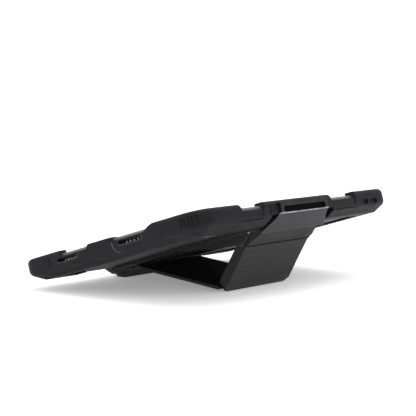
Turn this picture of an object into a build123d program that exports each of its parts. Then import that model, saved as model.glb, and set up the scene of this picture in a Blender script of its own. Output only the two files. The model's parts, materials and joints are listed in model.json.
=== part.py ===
from build123d import *
import os
from math import asin, cos, degrees, radians, sin

# Rugged field tablet held on a fold-out kickstand.  Millimetres, +Z up, the stand's feet on Z = 0.
# +X runs along the long edge, the user sits at -Y, and the edge at +Y is the raised one.

# ---- driving dimensions ----
tilt = 16.3                 # angle of the glass to the floor, degrees
lower_edge_y = -97.0        # Y of the glass plane's lower edge
lower_edge_z = 23.4         # height of the glass plane's lower edge

case_length = 280.0
case_width = 200.0
case_depth = 16.0
front_corner = 9.0          # corner radii of the case, at the lower edge
rear_corner = 16.0          # and at the raised edge
waist_depth = 8.5           # the side walls are upright down to here, then bevelled
bevel_inset = 12.0
wall = 2.2
floor_thickness = 2.0

bezel_depth = 3.4
bezel_chamfer = 1.6
gasket_thickness = 0.6
glass_length = 236.0
glass_width = 178.0
glass_thickness = 1.6
glass_recess = 0.3
glass_x = -12.0             # the glass is off centre, which leaves the key strip at +X
screen_length = 217.0
screen_width = 136.0

guard_proud = 5.0           # rubber outside the case
corner_rise = 3.0           # rubber above the glass at the corners
side_rise = 1.0             # and at the middle of the sides
strip_depth = 3.0           # depth of the rubber's edge where the bezel shows
guard_depth = 17.6
guard_lip = 7.0             # rubber that laps onto the bezel
guard_round = 4.6
guard_waist = 11.0          # the rubber stays upright further down than the case
waist_round = 6.0           # the soft bend where the upright wall meets the bevel
base_round = 2.0            # and where the bevel meets the underside
grip_count = 5              # grooves round each raised corner
grip_radius = 1.1
grip_spread = 39.0          # the grooves share this angle, degrees
grip_depths = (0.6, 11.1)   # the grooves run from one depth to the other

slot_depth = 6.0            # depth of the side sockets below the glass
slot_height = 3.8

plate_half_width = 56.0
plate_start = 18.0
plate_end = 187.6
plate_top_depth = 16.4
plate_bottom_depth = 19.0

hinge_s = 165.8             # leg hinge, measured along the glass from the lower edge
hinge_depth = 26.9          # and below the glass
leg_half_width = 46.7
leg_thickness = 9.5
leg_reach = 47.4            # hinge axis to fold axis
fold_height = 2.85          # height of the fold axis, which is the rubber sleeve's radius
brace_reach = 99.0          # fold axis to end rod axis
brace_thickness = 2.6
end_rod_radius = 2.0
end_rod_gap = 0.4           # open pivot: the end rod stays this far off the plate
pin_radius = 1.5
pin_clearance = 0.08
fold_pin_radius = 1.0
fold_barrel_radius = 2.4

side_gap = 0.6              # play beside the folding panels
fit_gap = 0.2               # gap around covers and keys

# ---- frames derived from the driving dimensions ----
half_length = case_length / 2
half_width = case_width / 2
up = Vector(0, -sin(radians(tilt)), cos(radians(tilt)))
uphill = Vector(0, cos(radians(tilt)), sin(radians(tilt)))
lower_edge = Vector(0, lower_edge_y, lower_edge_z)

# deck: local x along the long edge, local y uphill from the lower edge, normal out of the glass
deck = Plane(origin=lower_edge, x_dir=(1, 0, 0), z_dir=up)
# section: local x uphill, local y out of the glass, normal along +X
section = Plane(origin=lower_edge, x_dir=uphill, z_dir=(1, 0, 0))
# raised_face and lower_face: local x along the long edge, local y down into the depth
raised_face = Plane(origin=lower_edge + uphill * case_width, x_dir=(1, 0, 0), z_dir=uphill)
floor_section = Plane(origin=(0, lower_edge_y, 0), x_dir=(0, 1, 0), z_dir=(1, 0, 0))

hinge_point = lower_edge + uphill * hinge_s - up * hinge_depth
fold_drop = hinge_point.Z - fold_height
fold_lean = asin(fold_drop / leg_reach)
leg_down = Vector(0, -cos(fold_lean), -sin(fold_lean))
fold_point = hinge_point + leg_down * leg_reach
fold_offset = fold_point - lower_edge
fold_depth = -fold_offset.dot(up)
end_rod_depth = plate_bottom_depth + end_rod_gap + end_rod_radius
brace_rise = asin((fold_depth - end_rod_depth) / brace_reach)
brace_up = uphill * -cos(brace_rise) + up * sin(brace_rise)
end_rod_s = fold_offset.dot(uphill) - brace_reach * cos(brace_rise)

# leg_section: local x down the leg, local y out of its front face, normal along +X
leg_section = Plane(origin=hinge_point, x_dir=leg_down, z_dir=(1, 0, 0))
# brace_section: local x from the fold to the end rod, local y out of the brace's floor side
brace_section = Plane(origin=fold_point, x_dir=brace_up, z_dir=(1, 0, 0))

leg_swing = degrees(fold_lean) - tilt
brace_swing = leg_swing + degrees(brace_rise)

pieces = {}


def at_depth(depth):
    """Deck-parallel plane this far below the glass."""
    return deck.offset(-depth)


def deck_block(x_range, s_range, depth_range):
    """Rectangular block given in the deck's own directions."""
    size_x = x_range[1] - x_range[0]
    size_s = s_range[1] - s_range[0]
    size_depth = depth_range[1] - depth_range[0]
    with BuildPart() as block:
        with BuildSketch(at_depth(depth_range[0])):
            with Locations(((x_range[0] + x_range[1]) / 2, (s_range[0] + s_range[1]) / 2)):
                Rectangle(size_x, size_s)
        extrude(amount=-size_depth)
    return block


def deck_disc(x, s, radius, depth_range):
    """Round block with its axis square to the glass."""
    with BuildPart() as disc:
        with BuildSketch(at_depth(depth_range[0])):
            with Locations((x, s)):
                Circle(radius)
        extrude(amount=-(depth_range[1] - depth_range[0]))
    return disc


def section_prism(outline, x_range):
    """Prism along X from an outline of (uphill distance, depth) points."""
    with BuildPart() as prism:
        with BuildSketch(section.offset(x_range[0])):
            Polygon(*[(s, -depth) for s, depth in outline], align=None)
        extrude(amount=x_range[1] - x_range[0])
    return prism


def outline(inset, front_radius, rear_radius):
    """Case outline drawn inwards by the inset, with its own corner radii front and rear."""
    with BuildSketch() as shape:
        Rectangle(case_length - 2 * inset, case_width - 2 * inset)
        fillet(shape.vertices().sort_by(Axis.Y)[:2], front_radius)
        fillet(shape.vertices().sort_by(Axis.Y)[-2:], rear_radius)
    return Pos(0, half_width) * shape.sketch


def tray(grow, top, waist, bottom, inset):
    """Case-shaped solid: upright from top to waist, bevelled inwards from waist to bottom."""
    rim = outline(-grow, front_corner + grow, rear_corner + grow)
    base = outline(inset - grow, 4.0, 6.0)
    with BuildPart() as shape:
        with BuildSketch(at_depth(top)):
            add(rim)
        extrude(amount=-(waist - top))
        with BuildSketch(at_depth(waist)):
            add(rim)
        with BuildSketch(at_depth(bottom)):
            add(base)
        loft()
    return shape


case_envelope = tray(0, 0, waist_depth, case_depth, bevel_inset)

# ---- front: bezel, glass, screen, keys ----
key_x = 122.0
key_names = ["key_power", "key_volume_up", "key_volume_down", "key_function_left", "key_function_right"]
key_pitch = 19.0
key_size = (11.0, 8.0)
key_flange = 1.0
key_flange_depth = (2.1, 2.7)
key_proud = 0.7
key_places = [half_width + (2 - index) * key_pitch for index in range(len(key_names))]
camera_front = (glass_x, case_width - 5.5)
lamp_places = [half_width + 62, half_width + 68]

with BuildPart() as front_bezel:
    with BuildSketch(deck):
        add(outline(0, front_corner, rear_corner))
    extrude(amount=-bezel_depth)
    chamfer(front_bezel.faces().sort_by(Axis((0, 0, 0), up))[-1].edges(), bezel_chamfer)
    with BuildSketch(deck):
        with Locations((glass_x, half_width)):
            RectangleRounded(glass_length + 2 * fit_gap, glass_width + 2 * fit_gap, 4)
    extrude(amount=-(glass_recess + glass_thickness), mode=Mode.SUBTRACT)
    with BuildSketch(deck):
        with Locations((glass_x, half_width)):
            Rectangle(screen_length + 3, screen_width + 3)
        with Locations(*[(key_x, place) for place in key_places]):
            RectangleRounded(key_size[0] + 2 * fit_gap, key_size[1] + 2 * fit_gap, 2)
        with Locations(camera_front):
            Circle(2.4)
        with Locations(*[(key_x, place) for place in lamp_places]):
            Circle(1.0)
    extrude(amount=-bezel_depth, mode=Mode.SUBTRACT)
    with BuildSketch(at_depth(key_flange_depth[0] - 0.1)):
        with Locations(*[(key_x, place) for place in key_places]):
            flange_gap = 2 * key_flange + 4 * fit_gap
            RectangleRounded(key_size[0] + flange_gap, key_size[1] + flange_gap, 2)
    extrude(amount=-(bezel_depth - key_flange_depth[0] + 0.1), mode=Mode.SUBTRACT)
pieces["front_bezel"] = front_bezel

with BuildPart() as touch_glass:
    with BuildSketch(at_depth(glass_recess)):
        with Locations((glass_x, half_width)):
            RectangleRounded(glass_length, glass_width, 3.8)
    extrude(amount=-glass_thickness)
    chamfer(touch_glass.faces().sort_by(Axis((0, 0, 0), up))[-1].edges(), 0.3)
pieces["touch_glass"] = touch_glass

display_start = glass_recess + glass_thickness
with BuildPart() as display_panel:
    with BuildSketch(at_depth(display_start)):
        with Locations((glass_x, half_width)):
            Rectangle(screen_length + 2, screen_width + 2)
    extrude(amount=-3.4)
pieces["display_panel"] = display_panel


def make_key(place):
    """Moulded key cap with a retaining flange under the bezel."""
    with BuildPart() as key:
        with BuildSketch(deck.offset(key_proud)):
            with Locations((key_x, place)):
                RectangleRounded(key_size[0], key_size[1], 1.8)
        extrude(amount=-(key_proud + key_flange_depth[1]))
        fillet(key.faces().sort_by(Axis((0, 0, 0), up))[-1].edges(), 0.5)
        with BuildSketch(at_depth(key_flange_depth[0])):
            with Locations((key_x, place)):
                RectangleRounded(key_size[0] + 2 * key_flange, key_size[1] + 2 * key_flange, 1.8)
        extrude(amount=-(key_flange_depth[1] - key_flange_depth[0]))
    return key


for key_name, key_place in zip(key_names, key_places):
    pieces[key_name] = make_key(key_place)

key_board_depth = (3.9, 4.9)
with BuildPart() as key_board:
    with BuildSketch(at_depth(key_board_depth[0])):
        with Locations((key_x, half_width)):
            Rectangle(14, 100)
    extrude(amount=-(key_board_depth[1] - key_board_depth[0]))
    with BuildSketch(at_depth(key_board_depth[0])):
        with Locations(*[(key_x, place) for place in key_places]):
            Circle(2.5)
    extrude(amount=0.5)
pieces["key_board"] = key_board

with BuildPart() as front_camera:
    with BuildSketch(at_depth(0.5)):
        with Locations(camera_front):
            Circle(2.2)
    extrude(amount=-3.5)
pieces["front_camera"] = front_camera

with BuildPart() as status_lamps:
    with BuildSketch(at_depth(0.1)):
        with Locations(*[(key_x, place) for place in lamp_places]):
            Circle(0.9)
    extrude(amount=-3.2)
pieces["status_lamps"] = status_lamps

housing_top = bezel_depth + gasket_thickness
with BuildPart() as bezel_gasket:
    with BuildSketch(at_depth(bezel_depth)):
        add(outline(0.5, front_corner - 0.5, rear_corner - 0.5))
        add(outline(2.5, front_corner - 2.5, rear_corner - 2.5), mode=Mode.SUBTRACT)
    extrude(amount=-gasket_thickness)
pieces["bezel_gasket"] = bezel_gasket

# ---- rear housing and what is let into its back ----
cavity = tray(-wall, housing_top - 1, waist_depth, case_depth - floor_thickness, bevel_inset - 2)
bay_x = (-118.0, -62.0)
bay_s = (39.0, 162.0)
latch_x = -90.0
latch_places = {"battery_latch_front": 29.0, "battery_latch_rear": 172.0}
latch_size = (14.0, 8.0)
latch_travel = 5.0
latch_depth = (14.6, case_depth)
hatch_x = (64.0, 114.0)
hatch_s = (48.0, 153.0)
hatch_depth = 14.8
hatch_screws = [(x, s) for x in (69.0, 109.0) for s in (53.0, 148.0)]
case_screws_at = [(-112.0, 27.0), (-112.0, 174.0), (112.0, 27.0), (112.0, 174.0)]
corner_screws_at = [(-125.0, 15.0), (-125.0, 185.0), (125.0, 15.0), (125.0, 185.0)]
camera_rear = (92.0, 170.0)
flash_rear = (78.0, 170.0)
speaker_at = (86.0, 29.0)
grille_slots = [(speaker_at[0] + step * 4.0, speaker_at[1]) for step in range(-2, 3)]
socket_places = {"lower": 52.5, "upper": 127.5}
socket_lengths = {"lower": 26.0, "upper": 28.5}
door_x = {"port_door_right": (58.0, 87.5), "port_door_left": (-83.5, -47.0)}
door_depth = (3.4, 11.6)
port_x = {"data_port": 73.0, "video_port": -64.5}
port_widths = {"data_port": 14.0, "video_port": 20.0}
port_depth = 6.2

with BuildPart() as rear_housing:
    add(case_envelope.part)
    add(deck_block((-150, 150), (-10, case_width + 10), (-1, housing_top)).part, mode=Mode.SUBTRACT)
    add(cavity.part, mode=Mode.SUBTRACT)
    with BuildSketch(at_depth(case_depth - floor_thickness)):
        with Locations(*hatch_screws):
            Circle(2.6)
        with Locations(*case_screws_at):
            Circle(4.2)
    extrude(amount=4.5)
    add(deck_block((bay_x[0] - fit_gap, bay_x[1] + fit_gap), (bay_s[0] - fit_gap, bay_s[1] + fit_gap),
                   (case_depth - floor_thickness - 1, case_depth + 1)).part, mode=Mode.SUBTRACT)
    for latch_place in latch_places.values():
        half_run = (latch_size[0] + latch_travel) / 2 + fit_gap
        add(deck_block((latch_x - half_run, latch_x + half_run),
                       (latch_place - latch_size[1] / 2 - fit_gap, latch_place + latch_size[1] / 2 + fit_gap),
                       (latch_depth[0] - 0.1, case_depth + 1)).part, mode=Mode.SUBTRACT)
    add(deck_block((hatch_x[0] - fit_gap, hatch_x[1] + fit_gap), (hatch_s[0] - fit_gap, hatch_s[1] + fit_gap),
                   (hatch_depth, case_depth + 1)).part, mode=Mode.SUBTRACT)
    with BuildSketch(at_depth(case_depth)):
        with Locations(*hatch_screws):
            Circle(1.05)
        with Locations(*corner_screws_at):
            Circle(1.05)
        with Locations(*case_screws_at):
            Circle(1.35)
    extrude(amount=5.5, mode=Mode.SUBTRACT)
    with BuildSketch(at_depth(case_depth)):
        with Locations(*case_screws_at):
            Circle(2.8)
        with Locations(camera_rear):
            Circle(7.6)
        with Locations(flash_rear):
            Circle(2.4)
    extrude(amount=1.2, mode=Mode.SUBTRACT)
    with BuildSketch(at_depth(case_depth)):
        with Locations(*grille_slots):
            SlotOverall(9.0, 1.8, rotation=90)
        with Locations(camera_rear):
            Circle(4.7)
        with Locations(flash_rear):
            Circle(1.6)
    extrude(amount=floor_thickness + 0.5, mode=Mode.SUBTRACT)
    for side in (-1, 1):
        with BuildSketch(section.offset(side * (half_length - 5))):
            for key, place in socket_places.items():
                with Locations((place, -slot_depth)):
                    SlotOverall(socket_lengths[key] - 2, slot_height - 0.6)
        extrude(amount=side * 8, mode=Mode.SUBTRACT)
    with BuildSketch(raised_face.offset(-5)):
        for x_range in door_x.values():
            with Locations(((x_range[0] + x_range[1]) / 2, port_depth)):
                Rectangle(x_range[1] - x_range[0] - 9, 4.2)
    extrude(amount=8, mode=Mode.SUBTRACT)
pieces["rear_housing"] = rear_housing

with BuildPart() as battery_cover:
    with BuildSketch(at_depth(14.2)):
        with Locations(((bay_x[0] + bay_x[1]) / 2, (bay_s[0] + bay_s[1]) / 2)):
            Rectangle(bay_x[1] - bay_x[0], bay_s[1] - bay_s[0])
    extrude(amount=-(case_depth - 14.2))
    with BuildSketch(at_depth(case_depth)):
        with Locations(((bay_x[0] + bay_x[1]) / 2, (bay_s[0] + bay_s[1]) / 2)):
            with GridLocations(0, 5, 1, 15):
                SlotOverall(38, 1.6)
    extrude(amount=0.5, mode=Mode.SUBTRACT)
    fillet(battery_cover.edges().filter_by(lambda edge: abs(edge.length - (case_depth - 14.2)) < 0.01), 0.8)
pieces["battery_cover"] = battery_cover

with BuildPart() as battery_pack:
    with BuildSketch(at_depth(7.6)):
        with Locations(((bay_x[0] + bay_x[1]) / 2, (bay_s[0] + bay_s[1]) / 2)):
            RectangleRounded(bay_x[1] - bay_x[0] - 2, bay_s[1] - bay_s[0] - 2, 2)
    extrude(amount=-6.0)
pieces["battery_pack"] = battery_pack


def make_latch(place):
    """Slide that locks one end of the battery cover, with finger ridges."""
    with BuildPart() as latch:
        with BuildSketch(at_depth(latch_depth[0])):
            with Locations((latch_x - latch_travel / 2, place)):
                RectangleRounded(latch_size[0], latch_size[1], 1.0)
        extrude(amount=-(latch_depth[1] - latch_depth[0]))
        with BuildSketch(at_depth(latch_depth[1])):
            with Locations((latch_x - latch_travel / 2, place)):
                with GridLocations(2.4, 0, 4, 1):
                    Rectangle(1.0, latch_size[1] - 2)
        extrude(amount=-0.5)
    return latch


for latch_name, latch_place in latch_places.items():
    pieces[latch_name] = make_latch(latch_place)

with BuildPart() as access_cover:
    with BuildSketch(at_depth(hatch_depth)):
        with Locations(((hatch_x[0] + hatch_x[1]) / 2, (hatch_s[0] + hatch_s[1]) / 2)):
            RectangleRounded(hatch_x[1] - hatch_x[0], hatch_s[1] - hatch_s[0], 1.5)
    extrude(amount=-(case_depth - hatch_depth))
    with BuildSketch(at_depth(hatch_depth)):
        with Locations(*hatch_screws):
            Circle(1.05)
    extrude(amount=-(case_depth - hatch_depth), mode=Mode.SUBTRACT)
    with BuildSketch(at_depth(case_depth)):
        with Locations(*hatch_screws):
            Circle(2.2)
    extrude(amount=0.9, mode=Mode.SUBTRACT)
pieces["access_cover"] = access_cover


def make_screws(places, head_radius, shank_radius, head_depth, head_height, shank_length):
    """Group of equal pan-head screws driven up into the back, each with a cross recess."""
    with BuildPart() as screws:
        with BuildSketch(at_depth(head_depth)):
            with Locations(*places):
                Circle(head_radius)
        extrude(amount=head_height)
        with BuildSketch(at_depth(head_depth - head_height)):
            with Locations(*places):
                Circle(shank_radius)
        extrude(amount=shank_length)
        with BuildSketch(at_depth(head_depth)):
            with Locations(*places):
                Rectangle(head_radius * 1.2, head_radius * 0.3)
                Rectangle(head_radius * 0.3, head_radius * 1.2)
        extrude(amount=head_height / 2, mode=Mode.SUBTRACT)
    return screws


pieces["access_screws"] = make_screws(hatch_screws, 2.0, 1.0, case_depth - 0.1, 0.8, 3.6)
pieces["case_screws"] = make_screws(case_screws_at, 2.6, 1.3, case_depth - 0.1, 1.1, 4.0)
pieces["corner_screws"] = make_screws(corner_screws_at, 2.0, 1.0, guard_depth - 0.1, 0.9, 2.3)

with BuildPart() as camera_ring:
    with BuildSketch(at_depth(case_depth - 1.2)):
        with Locations(camera_rear):
            Circle(7.4)
            Circle(5.2, mode=Mode.SUBTRACT)
    extrude(amount=-1.6)
    chamfer(camera_ring.edges().filter_by(GeomType.CIRCLE).sort_by(Axis((0, 0, 0), up))[:1], 0.3)
pieces["camera_ring"] = camera_ring
pieces["camera_window"] = deck_disc(*camera_rear, 5.0, (case_depth - 1.2, case_depth - 0.4))
pieces["camera_module"] = deck_disc(*camera_rear, 4.5, (8.4, case_depth - 1.3))
pieces["flash_lamp"] = deck_disc(*flash_rear, 2.2, (case_depth - 1.2, case_depth - 0.2))
pieces["speaker"] = deck_block((speaker_at[0] - 13, speaker_at[0] + 13),
                               (speaker_at[1] - 6, speaker_at[1] + 6), (8.6, 13.5))

# ---- inner chassis and boards ----
with BuildPart() as mid_frame:
    with BuildSketch(at_depth(5.8)):
        with Locations((0, half_width)):
            RectangleRounded(case_length - 20, case_width - 12, 8)
            with Locations((100, 40), (100, -40), (-105, 0)):
                RectangleRounded(30, 60, 6, mode=Mode.SUBTRACT)
        with Locations(*[(x, case_width - 10) for x in port_x.values()]):
            Rectangle(24, 20, mode=Mode.SUBTRACT)
    extrude(amount=-1.2)
pieces["mid_frame"] = mid_frame

with BuildPart() as main_board:
    with BuildSketch(at_depth(8.4)):
        with Locations((8, 105)):
            Rectangle(112, 78)
    extrude(amount=-1.2)
    with BuildSketch(at_depth(9.6)):
        with Locations((8, 105)):
            with GridLocations(26, 30, 4, 2):
                Rectangle(9, 7)
    extrude(amount=-1.0)
pieces["main_board"] = main_board
pieces["processor_shield"] = deck_block((-8, 24), (96, 114), (10.7, 12.6))
pieces["satellite_antenna"] = deck_block((10, 45), (156, 180), (8.2, 13.0))

# ---- side sockets ----
for side, side_name in ((1, "right"), (-1, "left")):
    for key, place in socket_places.items():
        with BuildPart() as socket:
            with BuildSketch(section.offset(side * (half_length - 9))):
                with Locations((place, -slot_depth)):
                    SlotOverall(socket_lengths[key] - 3, slot_height - 1.0)
            extrude(amount=side * 8)
            with BuildSketch(section.offset(side * (half_length - 3))):
                with Locations((place, -slot_depth)):
                    SlotOverall(socket_lengths[key] - 5, slot_height - 2.0)
            extrude(amount=side * 3, mode=Mode.SUBTRACT)
            with BuildSketch(section.offset(side * (half_length - 3))):
                with Locations((place, -slot_depth)):
                    with GridLocations(3.2, 0, 5, 1):
                        Rectangle(1.4, slot_height - 2.4)
            extrude(amount=side * 1.4)
        pieces["socket_" + side_name + "_" + key] = socket

# ---- rubber guards ----
guard_envelope = tray(guard_proud, -corner_rise, guard_waist, guard_depth, bevel_inset)
with BuildPart() as guard_ring:
    add(guard_envelope.part)
    fillet(guard_ring.faces().sort_by(Axis((0, 0, 0), up))[-1].edges(), guard_round)
    fillet(guard_ring.edges().filter_by(
        lambda edge: abs((edge.center() - lower_edge).dot(up) + guard_waist) < 0.01), waist_round)
    fillet(guard_ring.faces().sort_by(Axis((0, 0, 0), up))[0].edges(), base_round)
    add(case_envelope.part, mode=Mode.SUBTRACT)
    with BuildSketch(deck):
        add(outline(guard_lip, front_corner - 6, rear_corner - guard_lip))
    extrude(amount=corner_rise + 1, mode=Mode.SUBTRACT)
    with BuildSketch(at_depth(case_depth)):
        add(outline(bevel_inset + 8, 3.0, 3.0))
    extrude(amount=-5, mode=Mode.SUBTRACT)

outside = half_length + guard_proud + 1
beyond = case_width + guard_proud + 1
above = -corner_rise - 1
below = guard_depth + 1


def side_window(s_range, depth, slopes):
    """Cutter that lowers the rubber's top edge on both long sides between two places."""
    corners = [(s_range[0] - slopes[0], above), (s_range[1] + slopes[1], above), (s_range[1], depth),
               (s_range[0], depth)]
    return section_prism(corners, (-outside, outside))


def edge_window(x_range, depth, slope):
    """The same cutter for the raised and lower edges."""
    with BuildPart() as cutter:
        with BuildSketch(raised_face.offset(-beyond)):
            Polygon((x_range[0] - slope, above), (x_range[1] + slope, above),
                    (x_range[1], depth), (x_range[0], depth), align=None)
        extrude(amount=2 * beyond)
    return cutter


corner_start = 38.5
side_mid = (75.5, 105.0)
corner_end = 143.0
front_corner_x = 92.0
rear_corner_x = (-85.5, 89.0)
rear_mid_x = (-45.0, 53.0)
front_mid_x = (-50.0, 50.0)
plate_zone = 57.0           # half the width that the rubber leaves free for the stand plate
clip_zones = {"rear": 47.5, "front": 39.0}      # and half the width that it leaves free for each clip
seam = 0.15

side_windows = [side_window((corner_start + 4, side_mid[0]), strip_depth, (2.0, 5.0)),
                side_window((side_mid[0] - 1, side_mid[1]), -side_rise, (2.0, 2.0)),
                side_window((side_mid[1], corner_end), strip_depth, (1.0, 11.0))]
rear_windows = [edge_window((rear_mid_x[1] + 2, rear_corner_x[1] - 2), strip_depth, 2.0),
                edge_window((rear_corner_x[0] + 1, rear_mid_x[0]), strip_depth, 2.0)]
front_windows = [edge_window((front_mid_x[1], front_corner_x), strip_depth, 3.0),
                 edge_window((-front_corner_x, front_mid_x[0]), strip_depth, 3.0)]

with BuildPart() as corner_screw_holes:
    with BuildSketch(at_depth(case_depth)):
        with Locations(*corner_screws_at):
            Circle(1.05)
    extrude(amount=-4)
    with BuildSketch(at_depth(guard_depth - 1.0)):
        with Locations(*corner_screws_at):
            Circle(2.2)
    extrude(amount=-4)


def make_guard(x_range, s_range, cutters):
    """One moulded rubber guard: a length of the ring, less its windows and sockets."""
    with BuildPart() as guard:
        add(guard_ring.part)
        add(deck_block(x_range, s_range, (above, below)).part, mode=Mode.INTERSECT)
        for cutter in cutters:
            add(cutter.part, mode=Mode.SUBTRACT)
    return guard


def socket_cutter(key):
    """Opening in the rubber on both sides in front of a socket, flared towards the outside."""
    place = socket_places[key]
    length = socket_lengths[key]
    with BuildPart() as cutter:
        for side in (-1, 1):
            with BuildSketch(section.offset(side * (half_length - 1))):
                with Locations((place, -slot_depth)):
                    SlotOverall(length, slot_height)
            extrude(amount=side * (guard_proud + 2))
    return cutter


def grip_cutters():
    """Upright grooves: a row round each raised corner, and one in each long side by the lower corners."""
    corner_radius = rear_corner + guard_proud + 0.1
    with BuildPart() as cutter:
        for side in (-1, 1):
            first_angle = 3 if side > 0 else 177 - grip_spread
            with BuildSketch(at_depth(grip_depths[0])):
                with Locations((side * (half_length - rear_corner), case_width - rear_corner)):
                    with PolarLocations(corner_radius, grip_count, first_angle, grip_spread, endpoint=True):
                        Circle(grip_radius)
                with Locations((side * (half_length + guard_proud), 30.0)):
                    Rectangle(1.6, 1.6, rotation=45)
            extrude(amount=grip_depths[0] - grip_depths[1])
    return cutter


def rear_recess():
    """Recess with a bar across it in the raised-edge face of the left corner guard."""
    with BuildPart() as cutter:
        with BuildSketch(raised_face.offset(guard_proud - 2.0)):
            with Locations((-106.5, 8.2)):
                SlotOverall(25.0, 4.6)
                with Locations((2.4, 0)):
                    Rectangle(1.8, 7.0, mode=Mode.SUBTRACT)
        extrude(amount=4)
    return cutter


grips = grip_cutters()
recess = rear_recess()
lower_socket_cut = socket_cutter("lower")
upper_socket_cut = socket_cutter("upper")

for side, side_name in ((1, "right"), (-1, "left")):
    front_x = sorted((side * front_corner_x, side * outside))
    rear_x = sorted((rear_corner_x[1] if side > 0 else rear_corner_x[0], side * outside))
    mid_x = sorted((side * (half_length - 30), side * outside))
    pieces["corner_guard_front_" + side_name] = make_guard(
        front_x, (-beyond, corner_start),
        [grips, corner_screw_holes] + side_windows[:1] + front_windows)
    pieces["side_guard_" + side_name] = make_guard(
        mid_x, (corner_start + seam, side_mid[1]), [lower_socket_cut] + side_windows)
    pieces["corner_guard_rear_" + side_name] = make_guard(
        rear_x, (side_mid[1] + seam, beyond),
        [grips, recess, corner_screw_holes, upper_socket_cut] + side_windows[2:])

door_pockets = [deck_block(x_range, (case_width - 1, beyond), (door_depth[0] - 0.6, door_depth[1] + 0.5))
                for x_range in door_x.values()]
under_plate = deck_block((-plate_zone, plate_zone), (plate_start - 1, plate_end + 1), (waist_depth + 1, below))
under_clips = {place: deck_block((-reach, reach), (-beyond, 2 * beyond), (waist_depth + 1, below))
               for place, reach in clip_zones.items()}
rear_clip_groove = deck_block((-36.5, 38.5), (case_width + 2.0, beyond), (0.0, 2.2))
front_clip_groove = deck_block((-39, 39), (-beyond, -2.0), (0.2, 3.0))
with BuildPart() as rear_marks:
    with BuildSketch(raised_face.offset(guard_proud - 0.9)):
        with Locations((48.8, 4.8)):
            Rectangle(1.8, 9.0)
        with Locations((43.0, 3.6)):
            with GridLocations(2.2, 0, 4, 1):
                Rectangle(0.8, 6.5)
    extrude(amount=3)
front_clip_seat = deck_block((-39, 39), (-beyond, -guard_proud + 0.2), (0.2, below))
front_underside = deck_block((-outside, outside), (-beyond, 2 * beyond), (case_depth - 0.4, below))

pieces["edge_guard_rear"] = make_guard(
    (rear_corner_x[0] + seam, rear_corner_x[1] - seam), (case_width - 30, beyond),
    rear_windows + door_pockets + [under_plate, under_clips["rear"], rear_clip_groove, rear_marks])
pieces["edge_guard_front"] = make_guard(
    (-front_corner_x + seam, front_corner_x - seam), (-beyond, 30),
    front_windows + [under_plate, under_clips["front"], front_clip_groove, front_clip_seat, front_underside])

# ---- port doors on the raised edge ----
door_pin_s = case_width + 2.9
door_pin_depth = door_depth[1] - 1.5
door_barrel_radius = 1.3
door_pin_radius = 0.6


def make_door(x_range):
    """Flap over a port: a panel, a finger lip and a hinge barrel along its lower edge."""
    length = x_range[1] - x_range[0] - 2 * fit_gap
    start = x_range[0] + fit_gap
    with BuildPart() as door:
        with BuildSketch(section.offset(start)):
            with BuildLine():
                Polyline((door_pin_s - 0.9, -door_pin_depth), (door_pin_s - 0.9, -door_depth[0]),
                         (door_pin_s + 1.7, -door_depth[0]), (door_pin_s + 1.3, -door_depth[0] - 2.2),
                         (door_pin_s + 1.3, -door_pin_depth), close=True)
            make_face()
            with Locations((door_pin_s, -door_pin_depth)):
                Circle(door_barrel_radius)
        extrude(amount=length)
        with BuildSketch(section.offset(start)):
            with Locations((door_pin_s, -door_pin_depth)):
                Circle(door_pin_radius + pin_clearance)
        extrude(amount=length, mode=Mode.SUBTRACT)
    return door


def section_rod(s, depth, radius, x_range):
    """Round rod along X."""
    with BuildPart() as rod:
        with BuildSketch(section.offset(x_range[0])):
            with Locations((s, -depth)):
                Circle(radius)
        extrude(amount=x_range[1] - x_range[0])
    return rod


for door_name, x_range in door_x.items():
    pieces[door_name] = make_door(x_range)
    pieces[door_name + "_pin"] = section_rod(door_pin_s, door_pin_depth, door_pin_radius, x_range)


def make_port(x, width):
    """Metal connector shell with its tongue, set in the raised wall."""
    with BuildPart() as port:
        with BuildSketch(raised_face.offset(-14)):
            with Locations((x, port_depth)):
                Rectangle(width, 4.0)
        extrude(amount=13.6)
        with BuildSketch(raised_face.offset(-10)):
            with Locations((x, port_depth)):
                Rectangle(width - 0.8, 3.2)
                Rectangle(width - 2.4, 1.0, mode=Mode.SUBTRACT)
        extrude(amount=10, mode=Mode.SUBTRACT)
    return port


for port_name, x in port_x.items():
    pieces[port_name] = make_port(x, port_widths[port_name])

# ---- stand: plate, rails, bracket and the two clips ----
rail_inner = leg_half_width + side_gap
rail_outer = rail_inner + 3.0
boss_radius = 3.2
# the bracket carries the face of the open leg on up to the plate, clear of the leg's round top edge
bracket_outline = [(hinge_s + 4.3, 30.1), (plate_end, 21.2), (plate_end, plate_bottom_depth),
                   (hinge_s + 2.2, plate_bottom_depth), (hinge_s + 2.2, 21.4), (hinge_s + 4.9, 24.7),
                   (hinge_s + 5.2, 27.4)]

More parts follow.
